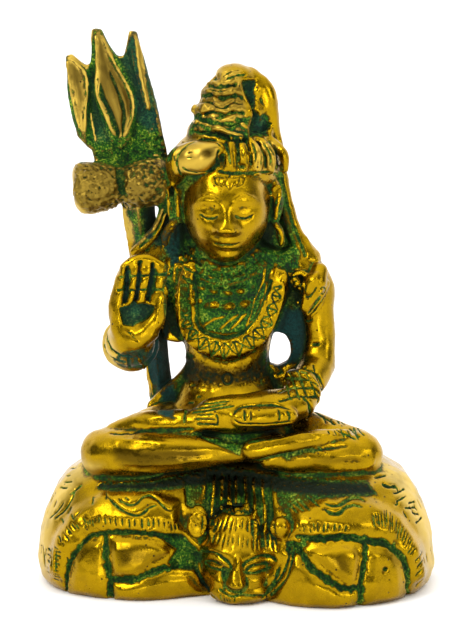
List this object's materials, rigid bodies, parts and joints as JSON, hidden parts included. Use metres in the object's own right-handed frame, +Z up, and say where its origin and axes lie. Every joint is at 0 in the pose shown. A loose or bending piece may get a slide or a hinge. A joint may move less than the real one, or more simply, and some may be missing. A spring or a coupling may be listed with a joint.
{
  "type": "shiva figure",
  "caption": "Small solid cast brass figure seated cross-legged on a mound draped with a tiger skin, with one hand raised and a trident and an hourglass drum beside the head.",
  "frame": {"origin": "middle of the flat underside of the mound", "axes": "+Z up, the figure faces -Y, +X towards its left hand, which is the viewer's right"},
  "size_m": [0.0726, 0.0432, 0.0992],
  "materials": {
    "antiqued_brass": "polished high spots with a green antique patina in the recesses"
  },
  "bodies": {
    "root": {"shiva_figure": "antiqued_brass"}
  },
  "joints": []
}
